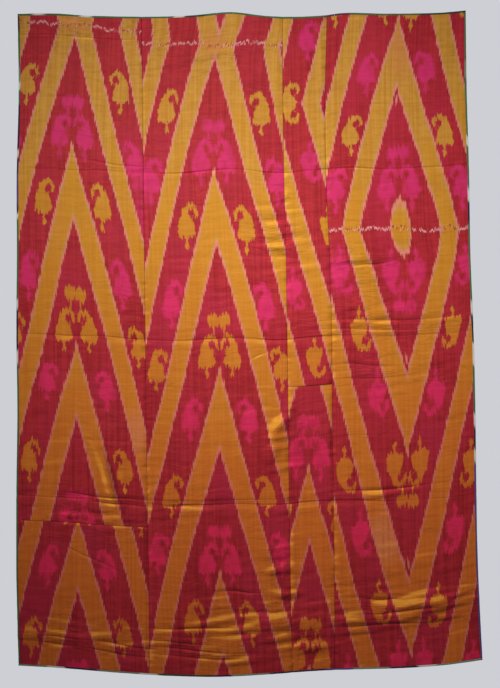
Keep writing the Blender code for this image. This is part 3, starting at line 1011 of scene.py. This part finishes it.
def add_panel(piece, material):
    across, down = panel_grid(piece)
    x, y, z = place(across, down)
    normal = surface_normals(x, y, z)
    middle = np.stack([x, y, z], -1)
    front = middle + normal * THICK / 2
    back = middle - normal * THICK / 2
    wide, tall = across.shape
    points = np.concatenate([front.reshape(-1, 3), back.reshape(-1, 3)])
    count = wide * tall
    rim = rim_faces(wide, tall, count)
    faces = np.concatenate([grid_faces(wide, tall), grid_faces(wide, tall, count, True), rim])
    aside, run, steep = weave_numbers(LOOMS[piece.name], across, -z)
    seam = np.minimum(near_seams(across, down), near_joins(across, down))
    lean = facing(across, down, y)
    lasting = {
        "weave": (aside, run, down),
        "wear": (steep, seam, patches(BLEEDS, across, down) - patches(STAINS, across, down)),
        "marks": (*marks(across, down), patches(LIVELY, across, down)),
        "lie": (lean, lean, lean),
    }
    both = {k: np.tile(np.stack(v, -1).reshape(-1, 3), (2, 1)) for k, v in lasting.items()}
    made = add_mesh(piece.name + "_ikat", points, faces, material, both, len(rim))
    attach(made, "root")
    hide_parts(piece.name)


# Binding
# The strip is cut across an ikat of many colours. Each row is where a colour starts, from the
# strip's left or upper end, as a share of its length. A colour ramp has room for 16 of them.
Dye = namedtuple("Dye", "start colour")
GREEN = srgb(66, 104, 62)
DARK_GREEN = srgb(38, 66, 44)
PALE = srgb(206, 204, 190)
NAVY = srgb(38, 34, 56)
PURPLE = srgb(86, 66, 122)
PLUM = srgb(96, 40, 70)
OCHRE = srgb(176, 140, 60)
GREY_GREEN = srgb(120, 138, 116)
STRIPS = {
    "binding_left": table(
        Dye, (0.0, NAVY), (0.022, GREEN), (0.075, GREY_GREEN), (0.1, PALE), (0.112, GREEN), (0.135, NAVY),
        (0.205, PALE), (0.216, NAVY), (0.24, PURPLE), (0.29, NAVY), (0.302, PALE), (0.31, GREEN),
        (0.435, PALE), (0.45, NAVY), (0.515, PALE), (0.535, GREEN),
    ),
    "binding_right": table(
        Dye, (0.0, GREEN), (0.072, GREY_GREEN), (0.1, GREEN), (0.19, PALE), (0.205, GREEN), (0.27, PALE),
        (0.29, NAVY), (0.325, GREEN), (0.445, PALE), (0.465, NAVY), (0.51, PALE), (0.545, GREEN),
        (0.62, PALE), (0.64, NAVY), (0.675, PALE), (0.695, PURPLE),
    ),
    "binding_top": table(
        Dye, (0.0, GREEN), (0.035, PALE), (0.06, GREEN), (0.14, PALE), (0.165, GREEN), (0.35, PALE),
        (0.372, DARK_GREEN), (0.42, GREEN), (0.69, PLUM), (0.745, GREEN), (0.9, DARK_GREEN),
    ),
    "binding_bottom": table(
        Dye, (0.0, GREY_GREEN), (0.06, PALE), (0.1, NAVY), (0.17, GREY_GREEN), (0.26, PALE),
        (0.3, DARK_GREEN), (0.4, NAVY), (0.46, GREY_GREEN), (0.54, NAVY), (0.66, PURPLE),
        (0.72, GREY_GREEN), (0.8, NAVY), (0.86, PALE), (0.9, GREY_GREEN),
    ),
}


MATT = {"Roughness": 0.75, "Specular IOR Level": 0.2, "Sheen Weight": 0.2}


def binding_material(name, dyes, seed):
    made, tree, shader = new_material(name + "_dyed", MATT)
    along, over, length = attribute(tree, "strip")
    slip = (scatter((over / 0.0012).floor(), seed) - 0.5) * 0.012
    slip = slip + (cloud(over * 500, along * 20, seed, 1.0) - 0.5) * 0.010
    ramp = tree.nodes.new("ShaderNodeValToRGB")
    stops = ramp.color_ramp.elements
    rows = []
    for here, after in zip(dyes, dyes[1:] + (Dye(1.0, dyes[-1].colour),)):
        rows.append((here.start + DYE_BLEND, here.colour))
        rows.append((max(after.start - DYE_BLEND, here.start + 0.002), here.colour))
    while len(stops) < len(rows):
        stops.new(0.5)
    for stop, row in zip(stops, rows):
        stop.position = row[0]
    for stop, row in zip(stops, rows):
        stop.color = row[1]
    feed((along + slip) / length, ramp.inputs[0])
    colour = Number(tree, ramp.outputs[0])
    speck = cloud(along * 260, over * 800, seed + 2, 2.0)
    colour = darker(colour, 0.72 + 0.5 * speck)
    feed(colour, shader.inputs["Base Color"])
    weave = cloud(along * 900, over * 240, seed + 1, 1.0)
    weave = weave + cloud(along * 200, over * 900, seed, 1.0)
    bumped(shader, weave * 0.00025)
    return made


def binding_section(edge, inward, away, leg_front, leg_back):
    """Points round the folded strip at one place of the edge, and how far over the fold each lies."""
    inner = THICK / 2 + CLEAR
    outer = inner + BINDING
    profile = []
    turn = 7
    for reach in (1.0, 0.6, 0.25):
        profile.append((leg_front * reach, outer))
    for k in range(turn + 1):
        angle = math.pi / 2 - math.pi * k / turn
        profile.append((-outer * math.cos(angle) * 0.9, outer * math.sin(angle)))
    for reach in (0.25, 0.6, 1.0):
        profile.append((leg_back * reach, -outer))
    for reach in (1.0, 0.6, 0.25):
        profile.append((leg_back * reach, -inner))
    for k in range(turn + 1):
        angle = -math.pi / 2 + math.pi * k / turn
        profile.append((-inner * math.cos(angle) * 0.9, inner * math.sin(angle)))
    for reach in (0.25, 0.6, 1.0):
        profile.append((leg_front * reach, inner))
    points = [edge + inward * along + away * out for along, out in profile]
    overs = [along if out > 0 else -along for along, out in profile]
    return points, overs


def add_binding(name, across, down, inner_across, inner_down, seed):
    """A folded strip along an edge that is given as places on the cloth, and places inside the edge."""
    edge = np.stack(place(across, down), -1)
    inner = np.stack(place(inner_across, inner_down), -1)
    inward = inner - edge
    inward /= np.linalg.norm(inward, axis=1, keepdims=True)
    along = np.gradient(edge, axis=0)
    along /= np.linalg.norm(along, axis=1, keepdims=True)
    away = np.cross(along, inward)
    away /= np.linalg.norm(away, axis=1, keepdims=True)
    away = np.where(away[:, 1:2] > 0, -away, away)
    distance = np.concatenate([[0], np.cumsum(np.linalg.norm(np.diff(edge, axis=0), axis=1))])
    uneven = noise_field(distance, distance * 0, 0.045, 1.0, seed)
    leg_front = LEG * (0.90 + 0.14 * uneven)
    leg_back = LEG * (0.86 - 0.10 * uneven)
    rings = []
    strip = []
    for k in range(len(edge)):
        points, overs = binding_section(edge[k], inward[k], away[k], leg_front[k], leg_back[k])
        rings.append(points)
        strip += [(distance[k], over, distance[-1]) for over in overs]
    size = len(rings[0])
    points = np.array(rings).reshape(-1, 3)
    faces = []
    for k in range(len(rings) - 1):
        for j in range(size):
            here = k * size + j
            after = k * size + (j + 1) % size
            faces.append((here, after, after + size, here + size))
    half = size // 2
    for first, flip in ((0, True), (len(points) - size, False)):
        for j in range(half - 1):
            cap = (first + j, first + j + 1, first + size - 2 - j, first + size - 1 - j)
            faces.append(cap[::-1] if flip else cap)
    faces = np.array(faces)
    corner, second, third = points[faces[0][:3]]
    if np.dot(np.cross(second - corner, third - corner), away[0]) < 0:
        faces = faces[:, ::-1]
    material = binding_material(name, STRIPS[name], float(seed))
    made = add_mesh(name + "_strip", points, faces, material, {"strip": np.array(strip)})
    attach(made, "root")
    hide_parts(name)


def add_bindings():
    for name, down, inner, seed in (
        ("binding_top", 0.0, EDGE_BAND, 31),
        ("binding_bottom", LENGTH, LENGTH - EDGE_BAND, 32),
    ):
        left = float(line_across("left", down)) - CORNER
        right = float(line_across("right", down)) + CORNER
        across = np.linspace(left, right, math.ceil((right - left) / BINDING_STEP))
        add_binding(name, across, np.full_like(across, down), across, np.full_like(across, inner), seed)
    for name, edge, inner, seed in (
        ("binding_left", "left", EDGE_BAND, 33),
        ("binding_right", "right", -EDGE_BAND, 34),
    ):
        down = np.linspace(LEG + CORNER, LENGTH - LEG - CORNER, math.ceil(LENGTH / BINDING_STEP))
        across = line_across(edge, down)
        add_binding(name, across, down, across + inner, down, seed)


PIN_HEAD = 0.0018
PIN_OUT = 0.0022  # from the middle of the cloth to the middle of the head
PIN_FLAT = 0.55
Pin = namedtuple("Pin", "across down")
PINS = table(
    Pin, (-0.0787, 0.003), (-0.0295, 0.003), (0.2833, 0.003), (0.678, 0.003), (-0.682, 2.036),
    (-0.034, 2.037), (0.729, 2.035),
)


def add_pins():
    """The heads of the steel pins along the top edge and in the foot, pressed against the cloth."""
    polished = {"Base Color": STEEL, "Metallic": 1.0, "Roughness": 0.3}
    made = new_material("pin_steel_polished", polished)[0]
    for k, (across, down) in enumerate(PINS):
        x, y, z = place(np.array([across]), np.array([down]))
        mesh = bpy.data.meshes.new(f"pin_{k + 1}")
        ball = bmesh.new()
        bmesh.ops.create_uvsphere(ball, u_segments=16, v_segments=10, radius=PIN_HEAD)
        for point in ball.verts:
            point.co = (x[0] + point.co.x, y[0] - PIN_OUT + point.co.y * PIN_FLAT, z[0] + point.co.z)
        ball.to_mesh(mesh)
        ball.free()
        for face in mesh.polygons:
            face.use_smooth = True
        mesh.materials.append(made)
        head = add_object(f"pin_{k + 1}", mesh)
        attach(head, "root")


# Stage, light and camera
FLOOR = -2.62  # height of the floor


def aim(made, target):
    direction = np.array(target) - np.array(made.location)
    flat = math.hypot(direction[0], direction[1])
    made.rotation_euler = (math.atan2(flat, -direction[2]), 0, math.atan2(-direction[0], direction[1]))


def add_light(name, place_at, target, size, power):
    light = bpy.data.lights.new(name, "AREA")
    light.shape = "RECTANGLE"
    light.size, light.size_y = size
    light.energy = power
    made = add_object(name, light)
    made.location = place_at
    made.visible_camera = False
    aim(made, target)
    return made


def add_stage():
    made = new_material("floor_paint", {"Base Color": FLOOR_PAINT, "Roughness": 0.9})[0]
    mesh = bpy.data.meshes.new("floor")
    corners = [(-4, -4, FLOOR), (4, -4, FLOOR), (4, 1.2, FLOOR), (-4, 1.2, FLOOR)]
    mesh.from_pydata(corners, [], [(0, 1, 2, 3)])
    mesh.materials.append(made)
    floor = add_object("floor", mesh)

    # The room is a pale wall to the camera and a dimmer one to the cloth, which its key light models.
    world = bpy.data.worlds.new("studio")
    scene.world = world
    world.use_nodes = True
    tree = world.node_tree
    wall = tree.nodes["Background"]
    wall.inputs["Color"].default_value = WALL
    fill = tree.nodes.new("ShaderNodeBackground")
    fill.inputs["Color"].default_value = WALL
    fill.inputs["Strength"].default_value = 0.27
    seen = tree.nodes.new("ShaderNodeLightPath")
    mix = tree.nodes.new("ShaderNodeMixShader")
    tree.links.new(seen.outputs["Is Camera Ray"], mix.inputs[0])
    tree.links.new(fill.outputs[0], mix.inputs[1])
    tree.links.new(wall.outputs[0], mix.inputs[2])
    tree.links.new(mix.outputs[0], tree.nodes["World Output"].inputs["Surface"])
    scene.view_settings.view_transform = "Standard"

    key = add_light("key", (-0.50, -2.42, 0.20), (0.179, 0.0, -0.803), (0.5, 0.4), 10.7)
    key.data.spread = math.radians(66)
    add_light("back", (0.0, 2.6, -0.4), (0.0, 0.0, -1.0), (2.0, 1.6), 40)


PIXEL = 0.0031  # metres of cloth in a pixel of the photograph
PHOTO_TALL = 688
SENSOR = 36
LENS = 60
CENTRE = (0.0217, -1.023)  # of the photograph, across and up from the middle of the top edge


def add_camera():
    data = bpy.data.cameras.new("camera")
    data.sensor_width = SENSOR
    data.lens = LENS
    made = add_object("camera", data)
    made.location = (CENTRE[0], -PHOTO_TALL * PIXEL * LENS / SENSOR, CENTRE[1])
    made.rotation_euler = (math.pi / 2, 0, 0)
    scene.camera = made


def main():
    add_camera()
    almond = almond_group()
    for piece in PIECES:
        loom = LOOMS[piece.name]
        add_panel(piece, cloth_material(loom, pattern_group(almond, loom)))
    add_bindings()
    add_pins()
    add_stage()


main()
